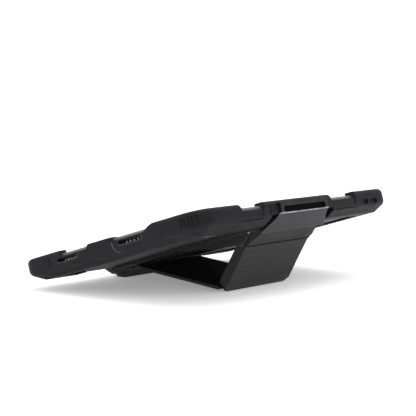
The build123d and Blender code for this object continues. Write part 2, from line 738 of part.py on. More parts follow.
with BuildPart() as stand_plate:
    with BuildSketch(at_depth(plate_top_depth)):
        with Locations((0, (plate_start + plate_end) / 2)):
            RectangleRounded(2 * plate_half_width, plate_end - plate_start, 6)
    extrude(amount=-(plate_bottom_depth - plate_top_depth))
    with BuildSketch(at_depth(plate_bottom_depth)):
        with Locations((-30, 97), (0, 97), (30, 97)):
            Rectangle(3, 96)
        with Locations((0, end_rod_s - end_rod_radius - 2)):
            Rectangle(80, 1.2)
    extrude(amount=-0.8)
    add(section_prism(bracket_outline, (-leg_half_width, leg_half_width)).part)
    with BuildSketch(at_depth(plate_bottom_depth + 0.01)):
        for side in (-1, 1):
            Polygon((side * leg_half_width, hinge_s + 9), (side * leg_half_width, plate_end + 1),
                    (side * (leg_half_width - 7), plate_end + 1), align=None)
        with Locations((-24, hinge_s + 16)):
            Rectangle(0.8, 26)
    extrude(amount=-12, mode=Mode.SUBTRACT)
    for side in (-1, 1):
        rail_x = sorted((side * rail_inner, side * rail_outer))
        add(section_prism([(100, plate_bottom_depth), (hinge_s - 2, 27.6), (hinge_s + 3, 27.6),
                           (hinge_s + 14.0, plate_bottom_depth)], rail_x).part)
        add(section_rod(hinge_s, hinge_depth, boss_radius, rail_x).part)
    add(section_rod(hinge_s, hinge_depth, pin_radius + 0.02, (-60, 60)).part, mode=Mode.SUBTRACT)
pieces["stand_plate"] = stand_plate

# the upper clip is a sloping plate, wide where it meets the bracket and narrow at the slot in its top
clip_x = (-34.5, 36.5)
clip_foot_x = 46.5
clip_face = case_width + guard_proud
clip_outline = [(plate_end, 16.6), (plate_end, 21.4), (plate_end + 1.2, 22.4),
                (clip_face - 0.2, 10.6), (clip_face + 2.4, 9.4), (clip_face + 2.8, 0.2),
                (clip_face - 2.6, 0.2), (clip_face - 2.6, 2.0), (clip_face + 0.4, 2.0),
                (clip_face + 0.4, 8.9), (clip_face - 3.4, 11.0), (plate_end + 1.4, 16.6)]
with BuildPart() as upper_clip:
    add(section_prism(clip_outline, (-clip_foot_x, clip_foot_x)).part)
    with BuildSketch(raised_face.offset(-30)):
        Polygon((-clip_foot_x, 24), (-clip_foot_x, 21), (-39, 15), (clip_x[0], 9.8),
                (clip_x[0], -2), (clip_x[1], -2), (clip_x[1], 9.8), (39.6, 15),
                (clip_foot_x, 21), (clip_foot_x, 24), align=None)
    extrude(amount=45, mode=Mode.INTERSECT)
    with BuildSketch(raised_face.offset(guard_proud - 2)):
        with Locations(((clip_x[0] + clip_x[1]) / 2, 6.4)):
            SlotOverall(clip_x[1] - clip_x[0] - 8, 5.4)
    extrude(amount=8, mode=Mode.SUBTRACT)
pieces["upper_clip"] = upper_clip

lower_clip_half_width = 38.0
foot_half_width = 30.0
foot_pad_thickness = 1.6
lower_outline = [(26, plate_bottom_depth), (26, 21.2), (1, 21.2), (-8.2, 14), (-8.2, 0.6),
                 (-2.4, 0.6), (-2.4, 2.6), (-5.2, 2.6), (-5.2, 10.6), (4, 17.6), (4, plate_bottom_depth)]
with BuildPart() as lower_clip:
    add(section_prism(lower_outline, (-lower_clip_half_width, lower_clip_half_width)).part)
    with BuildSketch(floor_section.offset(-foot_half_width)):
        Polygon((3.0, foot_pad_thickness), (15.0, foot_pad_thickness), (20.0, 7.5), (4.0, 5.0), align=None)
    extrude(amount=2 * foot_half_width)
pieces["lower_clip"] = lower_clip

with BuildPart() as foot_pad:
    with BuildSketch(Plane.XY):
        with Locations((0, lower_edge_y + 9)):
            RectangleRounded(2 * foot_half_width - 2, 11, 2)
    extrude(amount=foot_pad_thickness)
pieces["foot_pad"] = foot_pad

with BuildPart() as plate_pads:
    with BuildSketch(at_depth(case_depth)):
        with Locations((0, half_width)):
            with GridLocations(84, 120, 2, 2):
                RectangleRounded(20, 30, 3)
    extrude(amount=-(plate_top_depth - case_depth))
pieces["plate_pads"] = plate_pads

pieces["leg_hinge_pin"] = section_rod(hinge_s, hinge_depth, pin_radius, (-rail_outer, rail_outer))

# ---- folding leg ----
knuckle_length = 16.4
knuckle_pitch = 2 * knuckle_length
knuckle_gap = 0.4
leg_knuckles = [-knuckle_pitch, 0.0, knuckle_pitch]
brace_knuckles = [-knuckle_pitch / 2, knuckle_pitch / 2]
half_leg = leg_thickness / 2
fold_pin_half = 41.2
# leg_face: local x down the leg, local y towards -X, normal out of its front face
leg_face = Plane(origin=hinge_point, x_dir=leg_down, z_dir=leg_section.y_dir)

with BuildPart() as leg_panel:
    with BuildSketch(leg_section.offset(-leg_half_width)):
        Circle(half_leg)
        Polygon((0, half_leg), (leg_reach - 5.2, half_leg), (leg_reach + 0.9, 3.7),
                (leg_reach + 0.7, 3.0), (leg_reach - 0.4, 1.2), (leg_reach - 3.4, -3.0),
                (leg_reach - 6.4, -half_leg), (0, -half_leg), align=None)
    extrude(amount=2 * leg_half_width)
    with BuildSketch(leg_section.offset(-leg_half_width)):
        with Locations((leg_reach, 0)):
            Circle(fold_height + 0.3)
    extrude(amount=2 * leg_half_width, mode=Mode.SUBTRACT)
    with BuildSketch(leg_face.offset(-half_leg - 1)):
        for side in (-1, 1):
            Polygon((leg_reach - 4, side * leg_half_width), (leg_reach + 4, side * leg_half_width),
                    (leg_reach + 4, side * (leg_half_width - 6)), align=None)
    extrude(amount=leg_thickness + 2, mode=Mode.SUBTRACT)
    for centre in leg_knuckles:
        with BuildSketch(leg_section.offset(centre - knuckle_length / 2 + knuckle_gap)):
            with Locations((leg_reach, 0)):
                Circle(fold_barrel_radius)
            Polygon((leg_reach - 7.0, -1.6), (leg_reach, -1.6), (leg_reach, 1.6),
                    (leg_reach - 7.0, 1.6), align=None)
        extrude(amount=knuckle_length - 2 * knuckle_gap)
    with BuildSketch(leg_section.offset(-leg_half_width)):
        Circle(pin_radius + pin_clearance)
        with Locations((leg_reach, 0)):
            Circle(fold_pin_radius + 0.02)
    extrude(amount=2 * leg_half_width, mode=Mode.SUBTRACT)
pieces["leg_panel"] = leg_panel

with BuildPart() as fold_pin:
    with BuildSketch(leg_section.offset(-fold_pin_half)):
        with Locations((leg_reach, 0)):
            Circle(fold_pin_radius)
    extrude(amount=2 * fold_pin_half)
pieces["fold_pin"] = fold_pin

with BuildPart() as fold_sleeves:
    for centre in leg_knuckles:
        with BuildSketch(leg_section.offset(centre - knuckle_length / 2 + 4)):
            with Locations((leg_reach, 0)):
                Circle(fold_height)
                Circle(fold_barrel_radius + 0.02, mode=Mode.SUBTRACT)
            Polygon((0, -5), (leg_reach - 0.6, -5), (leg_reach - 0.6, 5), (0, 5),
                    align=None, mode=Mode.SUBTRACT)
        extrude(amount=knuckle_length - 8)
pieces["fold_sleeves"] = fold_sleeves

# ---- folding brace ----
half_brace = brace_thickness / 2
with BuildPart() as brace_panel:
    with BuildSketch(brace_section.offset(-leg_half_width)):
        Polygon((3.4, -half_brace), (brace_reach - 1, -half_brace), (brace_reach - 1, half_brace),
                (3.4, half_brace), align=None)
    extrude(amount=2 * leg_half_width)
    for centre in brace_knuckles:
        with BuildSketch(brace_section.offset(centre - knuckle_length / 2 + knuckle_gap)):
            Circle(fold_barrel_radius)
            Polygon((0, -1.6), (5, -1.6), (5, 1.6), (0, 1.6), align=None)
        extrude(amount=knuckle_length - 2 * knuckle_gap)
    with BuildSketch(brace_section.offset(-leg_half_width)):
        Circle(fold_pin_radius + pin_clearance)
    extrude(amount=2 * leg_half_width, mode=Mode.SUBTRACT)
    with BuildSketch(brace_section.offset(-leg_half_width)):
        with Locations((brace_reach, 0)):
            Circle(end_rod_radius + 0.02)
    extrude(amount=2 * leg_half_width, mode=Mode.SUBTRACT)
pieces["brace_panel"] = brace_panel

with BuildPart() as brace_end_rod:
    with BuildSketch(brace_section.offset(-leg_half_width)):
        with Locations((brace_reach, 0)):
            Circle(end_rod_radius)
    extrude(amount=2 * leg_half_width)
pieces["brace_end_rod"] = brace_end_rod

os.makedirs("parts", exist_ok=True)
for node, piece in pieces.items():
    piece.part.label = node
    export_step(piece.part, "parts/" + node + ".step")

print("hinge point", hinge_point)
print("fold point", fold_point)
print("leg swing", leg_swing, "brace swing", brace_swing, "ratio", brace_swing / leg_swing)
print("pieces", len(pieces))
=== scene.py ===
import json
from math import cos, pi, radians, sin

import bmesh
import bpy
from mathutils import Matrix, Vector


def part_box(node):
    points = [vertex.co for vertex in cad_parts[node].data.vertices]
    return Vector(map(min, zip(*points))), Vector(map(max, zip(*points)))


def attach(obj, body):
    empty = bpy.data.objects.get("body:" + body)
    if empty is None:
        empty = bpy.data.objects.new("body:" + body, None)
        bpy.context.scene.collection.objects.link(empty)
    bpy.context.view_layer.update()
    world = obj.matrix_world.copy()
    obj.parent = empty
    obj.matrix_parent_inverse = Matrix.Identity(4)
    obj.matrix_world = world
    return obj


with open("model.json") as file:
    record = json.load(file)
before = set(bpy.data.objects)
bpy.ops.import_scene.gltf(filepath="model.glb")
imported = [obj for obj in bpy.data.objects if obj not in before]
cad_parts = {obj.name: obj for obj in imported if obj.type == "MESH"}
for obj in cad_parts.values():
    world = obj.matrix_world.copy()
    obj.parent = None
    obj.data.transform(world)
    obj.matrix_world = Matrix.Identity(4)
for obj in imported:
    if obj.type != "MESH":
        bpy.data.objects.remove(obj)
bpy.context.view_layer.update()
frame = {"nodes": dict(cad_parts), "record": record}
nodes = frame["nodes"]

# ---- the tablet's own directions, in metres ----
TILT = radians(16.3)
LOWER_EDGE = Vector((0, -0.0970, 0.0234))
UPHILL = Vector((0, cos(TILT), sin(TILT)))
OUT = Vector((0, -sin(TILT), cos(TILT)))
ACROSS = Vector((1, 0, 0))
MM = 0.001


def place(x, s, depth):
    """Point given in millimetres: along the long edge, uphill from the lower edge, below the glass."""
    return LOWER_EDGE + (ACROSS * x + UPHILL * s - OUT * depth) * MM


# ---- node helpers ----
class Shader:
    """Small wrapper that adds and links nodes of one material."""

    def __init__(self, name):
        self.material = bpy.data.materials.new(name)
        self.material.use_nodes = True
        self.tree = self.material.node_tree
        self.tree.nodes.clear()
        self.out = self.tree.nodes.new("ShaderNodeOutputMaterial")
        self.principled = self.tree.nodes.new("ShaderNodeBsdfPrincipled")
        self.tree.links.new(self.principled.outputs[0], self.out.inputs[0])
        self.where = self.tree.nodes.new("ShaderNodeTexCoord").outputs["Object"]

    def put(self, socket, value):
        if isinstance(value, bpy.types.NodeSocket):
            self.tree.links.new(value, socket)
        elif value is not None:
            socket.default_value = value

    def math(self, kind, a, b=None):
        node = self.tree.nodes.new("ShaderNodeMath")
        node.operation = kind
        for socket, value in zip(node.inputs, (a, b)):
            self.put(socket, value)
        return node.outputs[0]

    def scaled(self, scale):
        node = self.tree.nodes.new("ShaderNodeVectorMath")
        node.operation = "MULTIPLY"
        self.put(node.inputs[0], self.where)
        node.inputs[1].default_value = scale
        return node.outputs[0]

    def along(self, direction, origin=(0, 0, 0)):
        """Distance of the shaded point from the origin along a direction, in metres."""
        shift = self.tree.nodes.new("ShaderNodeVectorMath")
        shift.operation = "SUBTRACT"
        self.put(shift.inputs[0], self.where)
        shift.inputs[1].default_value = origin
        node = self.tree.nodes.new("ShaderNodeVectorMath")
        node.operation = "DOT_PRODUCT"
        self.put(node.inputs[0], shift.outputs[0])
        node.inputs[1].default_value = direction
        return node.outputs["Value"]

    def noise(self, scale, detail=4.0, rough=0.55, vector=None):
        node = self.tree.nodes.new("ShaderNodeTexNoise")
        self.put(node.inputs["Vector"], vector or self.where)
        node.inputs["Scale"].default_value = scale
        node.inputs["Detail"].default_value = detail
        node.inputs["Roughness"].default_value = rough
        return node.outputs["Fac"]

    def cells(self, scale):
        node = self.tree.nodes.new("ShaderNodeTexVoronoi")
        self.put(node.inputs["Vector"], self.where)
        node.inputs["Scale"].default_value = scale
        return node.outputs["Distance"]

    def ramp(self, value, low, high, out_low=0.0, out_high=1.0):
        node = self.tree.nodes.new("ShaderNodeMapRange")
        self.put(node.inputs["Value"], value)
        node.inputs["From Min"].default_value = low
        node.inputs["From Max"].default_value = high
        node.inputs["To Min"].default_value = out_low
        node.inputs["To Max"].default_value = out_high
        return node.outputs["Result"]

    def mix(self, factor, a, b):
        node = self.tree.nodes.new("ShaderNodeMix")
        node.data_type = "RGBA"
        self.put(node.inputs["Factor"], factor)
        self.put(node.inputs["A"], a if isinstance(a, bpy.types.NodeSocket) else (*a, 1))
        self.put(node.inputs["B"], b if isinstance(b, bpy.types.NodeSocket) else (*b, 1))
        return node.outputs["Result"]

    def edges(self, radius):
        """1 on convex and concave edges, 0 on open faces."""
        bevel = self.tree.nodes.new("ShaderNodeBevel")
        bevel.samples = 4
        bevel.inputs["Radius"].default_value = radius
        geometry = self.tree.nodes.new("ShaderNodeNewGeometry")
        node = self.tree.nodes.new("ShaderNodeVectorMath")
        node.operation = "DOT_PRODUCT"
        self.put(node.inputs[0], bevel.outputs[0])
        self.put(node.inputs[1], geometry.outputs["Normal"])
        return self.ramp(node.outputs["Value"], 1.0, 0.78)

    def upward(self):
        """How much the surface faces up."""
        geometry = self.tree.nodes.new("ShaderNodeNewGeometry")
        node = self.tree.nodes.new("ShaderNodeSeparateXYZ")
        self.put(node.inputs[0], geometry.outputs["Normal"])
        return self.ramp(node.outputs["Z"], 0.2, 1.0)

    def bump(self, height, distance, strength=1.0, below=None):
        node = self.tree.nodes.new("ShaderNodeBump")
        self.put(node.inputs["Height"], height)
        node.inputs["Distance"].default_value = distance
        node.inputs["Strength"].default_value = strength
        if below is not None:
            self.put(node.inputs["Normal"], below)
        return node.outputs[0]

    def finish(self, colour, rough, normal=None, metallic=0.0, **uniform):
        self.put(self.principled.inputs["Base Color"], colour)
        self.put(self.principled.inputs["Roughness"], rough)
        self.put(self.principled.inputs["Metallic"], metallic)
        if normal is not None:
            self.put(self.principled.inputs["Normal"], normal)
        for name, value in uniform.items():
            self.principled.inputs[name.replace("_", " ")].default_value = value
        return self.material


def moulded(name, dark, light, scuff, rough, grain=2600.0, grain_depth=0.00006, wear=0.5, dust=0.12,
            **uniform):
    """Moulded rubber or plastic: fine grain, drifting tone, scuffed edges and a little dust on top."""
    s = Shader(name)
    drift = s.ramp(s.noise(14.0, 3.0), 0.35, 0.65)
    smear = s.ramp(s.noise(1.0, 5.0, 0.65, s.scaled((60, 60, 210))), 0.38, 0.68)
    speck = s.ramp(s.noise(grain, 2.0), 0.42, 0.62)
    colour = s.mix(drift, dark, light)
    colour = s.mix(s.math("MULTIPLY", speck, 0.35), colour, light)
    chipped = s.ramp(s.noise(420.0, 4.0, 0.7), 0.35, 0.7)
    edge = s.math("MULTIPLY", s.edges(0.0009), s.math("MULTIPLY", chipped, wear))
    colour = s.mix(edge, colour, scuff)
    settled = s.math("MULTIPLY", s.upward(), s.math("MULTIPLY", smear, dust))
    colour = s.mix(settled, colour, scuff)
    roughness = s.math("ADD", s.ramp(smear, 0, 1, rough[0], rough[1]), s.math("MULTIPLY", edge, -0.08))
    pebbles = s.cells(grain * 0.55)
    normal = s.bump(s.math("ADD", speck, pebbles), grain_depth, 0.55)
    normal = s.bump(drift, 0.0004, 0.12, normal)
    return s.finish(colour, roughness, normal, **uniform)


def coated(name, dark, light, bare_and_highlight, rough, wear=0.45, peel=1500.0, **uniform):
    """Textured powder coat: orange peel, faint rub marks, metal showing thinly on the corners; the light edge
    colour also paints highlights along the edges.
    """
    s = Shader(name)
    drift = s.ramp(s.noise(22.0, 4.0), 0.36, 0.66)
    peel_height = s.noise(peel, 3.0, 0.6)
    rub = s.ramp(s.noise(1.0, 4.0, 0.6, s.scaled((40, 300, 300))), 0.5, 0.78)
    speck = s.ramp(s.noise(peel * 1.7, 2.0), 0.5, 0.7)
    colour = s.mix(drift, dark, light)
    colour = s.mix(s.math("MULTIPLY", speck, 0.3), colour, light)
    colour = s.mix(s.math("MULTIPLY", rub, 0.05), colour, bare_and_highlight)
    # edge colour: partly worn metal, partly painted highlight along the edges
    chips_and_glints = s.ramp(s.noise(620.0, 5.0, 0.75), 0.45, 0.62)
    edge = s.edges(0.0006)
    colour = s.mix(s.math("MULTIPLY", edge, s.math("MULTIPLY", chips_and_glints, wear)), colour, bare_and_highlight)
    roughness = s.ramp(s.math("ADD", drift, s.math("MULTIPLY", rub, -0.5)), -0.5, 1.0, rough[0], rough[1])
    normal = s.bump(peel_height, 0.00012, 0.5)
    return s.finish(colour, roughness, normal, **uniform)


def turned(name, dark, light, rough, streak=(3000, 90, 90), grime=(0.03, 0.028, 0.025)):
    """Bare metal with fine lay marks and grime in a soft stain."""
    s = Shader(name)
    lines = s.noise(1.0, 5.0, 0.7, s.scaled(streak))
    stain = s.ramp(s.noise(160.0, 4.0), 0.45, 0.75)
    colour = s.mix(s.ramp(lines, 0.35, 0.65), dark, light)
    colour = s.mix(s.math("MULTIPLY", stain, 0.35), colour, grime)
    colour = s.mix(s.math("MULTIPLY", s.edges(0.0004), 0.4), colour, light)
    roughness = s.math("ADD", s.ramp(lines, 0.3, 0.7, rough[0], rough[1]), s.math("MULTIPLY", stain, 0.15))
    return s.finish(colour, roughness, s.bump(lines, 0.00005, 0.4), metallic=1.0)


def polished(name, dark, light, rough, coat=0.6):
    """Glass or lens cover: deep and smooth, with fingerprints that dull it in patches."""
    s = Shader(name)
    print_lines = s.noise(1.0, 6.0, 0.7, s.scaled((500, 260, 500)))
    patch = s.ramp(s.noise(30.0, 3.0), 0.52, 0.7)
    smear = s.math("MULTIPLY", patch, s.ramp(print_lines, 0.4, 0.7))
    colour = s.mix(s.ramp(s.noise(9.0, 2.0), 0.3, 0.7), dark, light)
    colour = s.mix(s.math("MULTIPLY", s.edges(0.0004), 0.5), colour, (0.16, 0.18, 0.19))
    roughness = s.ramp(smear, 0.0, 1.0, rough[0], rough[1])
    return s.finish(colour, roughness, s.bump(smear, 0.00001, 0.2), Coat_Weight=coat, Coat_Roughness=0.05)


# half sizes of the lit area along and across the screen, and the line round it, in metres
LIT_HALF_X, LIT_HALF_S = 0.1085, 0.0680
HAIR_LINE = 0.0007


def screen_glass():
    """Cover glass: black border, faintly lighter active area, a hair-line round it, smudges on top."""
    s = Shader("screen_glass")
    low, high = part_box("display_panel")
    middle = (low + high) / 2
    reach_x = s.math("ABSOLUTE", s.along(ACROSS, middle))
    reach_s = s.math("ABSOLUTE", s.along(UPHILL, middle))
    inside = s.math("MULTIPLY", s.math("LESS_THAN", reach_x, LIT_HALF_X),
                    s.math("LESS_THAN", reach_s, LIT_HALF_S))
    rim = s.math("MULTIPLY", s.math("LESS_THAN", reach_x, LIT_HALF_X + HAIR_LINE),
                 s.math("LESS_THAN", reach_s, LIT_HALF_S + HAIR_LINE))
    glow = s.ramp(s.noise(7.0, 2.0), 0.3, 0.7)
    active = s.mix(glow, (0.012, 0.015, 0.018), (0.02, 0.026, 0.032))
    colour = s.mix(rim, (0.004, 0.004, 0.005), (0.03, 0.033, 0.036))
    colour = s.mix(inside, colour, active)
    smear = s.math("MULTIPLY", s.ramp(s.noise(26.0, 3.0), 0.5, 0.7),
                   s.ramp(s.noise(1.0, 6.0, 0.7, s.scaled((420, 300, 420))), 0.4, 0.7))
    dust = s.ramp(s.cells(900.0), 0.05, 0.0)
    colour = s.mix(s.math("MULTIPLY", dust, 0.25), colour, (0.3, 0.3, 0.29))
    return s.finish(colour, s.ramp(smear, 0, 1, 0.06, 0.32), s.bump(smear, 0.00001, 0.2),
                    Coat_Weight=0.25, Coat_Roughness=0.03, Specular_IOR_Level=0.25)


def circuit():
    """Solder mask with copper tracks, pads and a fine weave under it."""
    s = Shader("circuit")
    blocks = s.tree.nodes.new("ShaderNodeTexBrick")
    s.put(blocks.inputs["Vector"], s.scaled((140, 140, 140)))
    blocks.inputs["Color1"].default_value = (0.01, 0.07, 0.035, 1)
    blocks.inputs["Color2"].default_value = (0.015, 0.10, 0.05, 1)
    blocks.inputs["Mortar"].default_value = (0.05, 0.17, 0.08, 1)
    blocks.inputs["Mortar Size"].default_value = 0.03
    pads = s.ramp(s.cells(260.0), 0.16, 0.1)
    colour = s.mix(pads, blocks.outputs["Color"], (0.62, 0.52, 0.3))
    weave = s.noise(3200.0, 2.0)
    return s.finish(colour, s.ramp(weave, 0.3, 0.7, 0.35, 0.55), s.bump(pads, 0.0001, 0.6))


# the clip turns from its plate to its lip at this depth below the glass, in metres
LIP_DEPTH = 0.0095
# painted highlight: the thin light line along the fold between plate and lip lies at this depth, within this
# half width, in metres
HIGHLIGHT_LINE_DEPTH, HIGHLIGHT_LINE_HALF_WIDTH = 0.0094, 0.0005
# grey of worn metal, also used to paint highlights on the clip's edges and along its fold
WORN_METAL_AND_HIGHLIGHT = (0.42, 0.42, 0.43)


def two_tone_clip():
    """Upper clip: textured grey plate, glossy black lip round the slot, and a painted highlight line between
    them where the fold catches the light.
    """
    s = Shader("clip_coat")
    depth = s.math("MULTIPLY", s.along(OUT, LOWER_EDGE), -1.0)
    lip = s.math("LESS_THAN", depth, LIP_DEPTH)
    drift = s.ramp(s.noise(24.0, 4.0), 0.36, 0.66)
    peel = s.noise(1500.0, 3.0, 0.6)
    speck = s.ramp(s.noise(2600.0, 2.0), 0.5, 0.7)
    coat = s.mix(drift, (0.018, 0.018, 0.0205), (0.027, 0.027, 0.030))
    coat = s.mix(s.math("MULTIPLY", speck, 0.35), coat, (0.052, 0.053, 0.058))
    # edges turn light grey in chips: partly wear, partly painted highlight along the edges
    edge = s.edges(0.0006)
    chips_and_glints = s.ramp(s.noise(560.0, 5.0, 0.75), 0.35, 0.6)
    coat = s.mix(s.math("MULTIPLY", edge, s.math("MULTIPLY", chips_and_glints, 0.75)), coat, WORN_METAL_AND_HIGHLIGHT)
    gloss = s.mix(s.ramp(s.noise(60.0, 3.0), 0.4, 0.6), (0.004, 0.004, 0.005), (0.010, 0.010, 0.012))
    colour = s.mix(lip, coat, gloss)
    # painted highlight: a thin light line along the fold where the edge catches the light, broken up by noise
    off_fold = s.math("ABSOLUTE", s.math("SUBTRACT", depth, HIGHLIGHT_LINE_DEPTH))
    highlight_breakup = s.ramp(s.noise(110.0, 3.0), 0.35, 0.6, 0.25, 0.8)
    painted_highlight_line = s.math("MULTIPLY", s.math("LESS_THAN", off_fold, HIGHLIGHT_LINE_HALF_WIDTH), highlight_breakup)
    colour = s.mix(painted_highlight_line, colour, WORN_METAL_AND_HIGHLIGHT)
    dull = s.ramp(drift, 0, 1, 0.46, 0.58)
    shine = s.ramp(s.noise(90.0, 3.0), 0.35, 0.65, 0.12, 0.24)
    plate = s.math("SUBTRACT", 1.0, lip)
    roughness = s.math("ADD", s.math("MULTIPLY", dull, plate), s.math("MULTIPLY", shine, lip))
    height = s.math("MULTIPLY", peel, plate)
    return s.finish(colour, roughness, s.bump(height, 0.00012, 0.5), Specular_IOR_Level=0.17)


BLUE_BLACK = ((0.0048, 0.0049, 0.0066), (0.0078, 0.0079, 0.0100))
MATERIALS = {
    "guard_rubber": moulded("guard_rubber", *BLUE_BLACK, (0.050, 0.050, 0.056), (0.56, 0.70), wear=0.5,
                             dust=0.05, Specular_IOR_Level=0.14),
    "seal_rubber": moulded("seal_rubber", (0.010, 0.010, 0.010), (0.018, 0.018, 0.018), (0.06, 0.06, 0.058),
                           (0.7, 0.85), grain=1800.0),
    "case_plastic": moulded("case_plastic", (0.012, 0.012, 0.014), (0.020, 0.020, 0.022), (0.07, 0.07, 0.072),
                            (0.5, 0.66), grain=3400.0, wear=0.4),
    "bezel_plastic": moulded("bezel_plastic", (0.060, 0.060, 0.064), (0.090, 0.090, 0.095),
                             (0.24, 0.24, 0.24), (0.30, 0.42), grain=3800.0, grain_depth=0.00003,
                             wear=0.3, dust=0.10, Specular_IOR_Level=0.35),
    "latch_plastic": moulded("latch_plastic", (0.05, 0.016, 0.008), (0.075, 0.022, 0.010), (0.16, 0.09, 0.06),
                             (0.42, 0.56), grain=3000.0),
    "key_plastic": moulded("key_plastic", (0.045, 0.046, 0.05), (0.065, 0.066, 0.07), (0.2, 0.2, 0.2),
                           (0.38, 0.52), grain=4200.0, grain_depth=0.00003),
    "cover_glass": screen_glass(),
    "lens_glass": polished("lens_glass", (0.004, 0.005, 0.008), (0.012, 0.013, 0.022), (0.05, 0.25)),
    "display": polished("display", (0.008, 0.010, 0.012), (0.016, 0.020, 0.024), (0.08, 0.28)),
    # the light edge colour here is raised to paint highlights along the stand's edges, as well as wear
    "stand_paint": coated("stand_paint", (0.008, 0.008, 0.009), (0.014, 0.014, 0.015), (0.30, 0.30, 0.30),
                          (0.5, 0.66), wear=0.65, Specular_IOR_Level=0.25),
    "clip_paint": two_tone_clip(),
    # the light edge colour here is raised to paint highlights along the leg's edges, as well as wear
    "leg_paint": coated("leg_paint", (0.0112, 0.0109, 0.0115), (0.0150, 0.0146, 0.0152),
                        (0.20, 0.20, 0.20), (0.52, 0.64), Specular_IOR_Level=0.28),
    "dark_steel": turned("dark_steel", (0.03, 0.03, 0.032), (0.06, 0.06, 0.062), (0.35, 0.5)),
    "steel": turned("steel", (0.42, 0.42, 0.43), (0.62, 0.62, 0.62), (0.24, 0.42)),
    "connector_metal": turned("connector_metal", (0.40, 0.38, 0.33), (0.66, 0.64, 0.58), (0.22, 0.4),
                              (400, 2400, 400)),
    "magnesium": turned("magnesium", (0.30, 0.31, 0.31), (0.48, 0.48, 0.48), (0.45, 0.62), (700, 700, 700)),
    "socket_shell": moulded("socket_shell", (0.004, 0.004, 0.005), (0.008, 0.008, 0.009), (0.03, 0.03, 0.03),
                            (0.35, 0.5), grain=3800.0, Specular_IOR_Level=0.3),
    "board": circuit(),
    "battery": moulded("battery", (0.035, 0.036, 0.038), (0.05, 0.05, 0.052), (0.12, 0.12, 0.12),
                       (0.28, 0.42), grain=900.0, grain_depth=0.0001),
    "ceramic": moulded("ceramic", (0.42, 0.37, 0.29), (0.52, 0.47, 0.38), (0.7, 0.68, 0.62), (0.4, 0.55)),
    "camera_body": moulded("camera_body", (0.008, 0.008, 0.008), (0.013, 0.013, 0.013),
                           (0.06, 0.06, 0.06), (0.45, 0.6)),
}

DARKER = {"leg_hinge_pin": "dark_steel", "brace_end_rod": "dark_steel", "fold_pin": "dark_steel",
          "corner_screws": "dark_steel"}
DARKER.update({name: "socket_shell" for name in nodes if name.startswith("socket_")})
for part in frame["record"]["subparts"]:
    piece = nodes[part["node"]]
    finish = DARKER.get(part["node"], part["material_slot"])
    piece.data.materials.clear()
    piece.data.materials.append(MATERIALS[finish])


# ---- pieces that only the looks need ----
def add_mesh(name, bm, body, slot, material=None):
    """Turns a bmesh into a piece that rides on a body and takes its finish from a slot."""
    mesh = bpy.data.meshes.new(name)
    bmesh.ops.recalc_face_normals(bm, faces=bm.faces)
    bm.to_mesh(mesh)
    bm.free()
    for face in mesh.polygons:
        face.use_smooth = True
    mesh.set_sharp_from_angle(angle=radians(35))
    piece = bpy.data.objects.new(name, mesh)
    bpy.context.scene.collection.objects.link(piece)
    mesh.materials.append(material or MATERIALS[slot])
    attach(piece, body)
    return piece


SCREW_STEPS = 36
# share of the radius, share of the height, and whether the ring follows the hexagon of the socket
SCREW_RINGS = [(1.0, 0.0, False), (1.0, 0.45, False), (0.95, 0.75, False), (0.80, 1.0, False),
               (0.55, 1.0, True), (0.50, 0.92, True), (0.50, 0.25, True)]


def screw(name, centre, normal, radius, height, slot="steel"):
    """Pan-head screw with a hexagon socket."""
    bm = bmesh.new()
    normal = normal.normalized()
    side = normal.orthogonal().normalized()
    other = normal.cross(side)
    rings = []
    for size, rise, six in SCREW_RINGS:
        ring = []
        for i in range(SCREW_STEPS):
            turn = 2 * pi * i / SCREW_STEPS
            corner = cos(pi / 6) / cos((turn % (pi / 3)) - pi / 6) if six else 1.0
            reach = radius * size * corner
            ring.append(bm.verts.new(centre + side * reach * cos(turn) + other * reach * sin(turn)
                                     + normal * height * rise))
        rings.append(ring)
    for lower, upper in zip(rings, rings[1:]):
        for i in range(SCREW_STEPS):
            following = (i + 1) % SCREW_STEPS
            bm.faces.new((lower[i], lower[following], upper[following], upper[i]))
    bm.faces.new(rings[-1])
    bm.faces.new(list(reversed(rings[0])))
    return add_mesh(name, bm, "tablet", slot)


def stadium(length, height, steps=14):
    """Outline of a slot with round ends, as (along, across) pairs in millimetres."""
    points = []
    straight = (length - height) / 2
    for end in (1, -1):
        for i in range(steps + 1):
            turn = -pi / 2 + pi * i / steps
            points.append((end * (straight + height / 2 * cos(turn)), end * height / 2 * sin(turn)))
    return points


def tube(name, path, radius, body, slot, material):
    """Bead of round section along an open path, with flat ends."""
    bm = bmesh.new()
    sides = 10
    rings = []
    last = len(path) - 1
    for i, point in enumerate(path):
        forward = (path[min(i + 1, last)] - path[max(i - 1, 0)]).normalized()
        lies_across = abs(forward.dot(ACROSS)) > 0.9
        side = forward.orthogonal().normalized() if lies_across else forward.cross(ACROSS).normalized()
        other = forward.cross(side)
        ring = []
        for k in range(sides):
            turn = 2 * pi * k / sides
            ring.append(bm.verts.new(point + (side * cos(turn) + other * sin(turn)) * radius))
        rings.append(ring)
    for ring, following in zip(rings, rings[1:]):
        for k in range(sides):
            bm.faces.new((ring[k], ring[(k + 1) % sides], following[(k + 1) % sides], following[k]))
    bm.faces.new(rings[0])
    bm.faces.new(list(reversed(rings[-1])))
    return add_mesh(name, bm, body, slot, material)


# painted highlight: a light bead along the lower half of each socket slot, where the slot's lip catches the
# light, and the row of contacts in it, in millimetres
# light material for the highlight beads in the slots and for the mould lines
LIGHT_BEAD = moulded("light_bead", (0.06, 0.06, 0.065), (0.10, 0.10, 0.105), (0.3, 0.3, 0.3), (0.3, 0.45),
               grain=3800.0, grain_depth=0.00002)
SOCKETS = {"lower": (52.5, 26.0), "upper": (127.5, 28.5)}
SLOT_HEIGHT, SLOT_DEPTH = 3.8, 6.0
BEAD_REACH = 144.5
CONTACTS = 5
CONTACT_REACH, CONTACT_DEPTH, CONTACT_INSET = 139.6, 6.3, 11.0


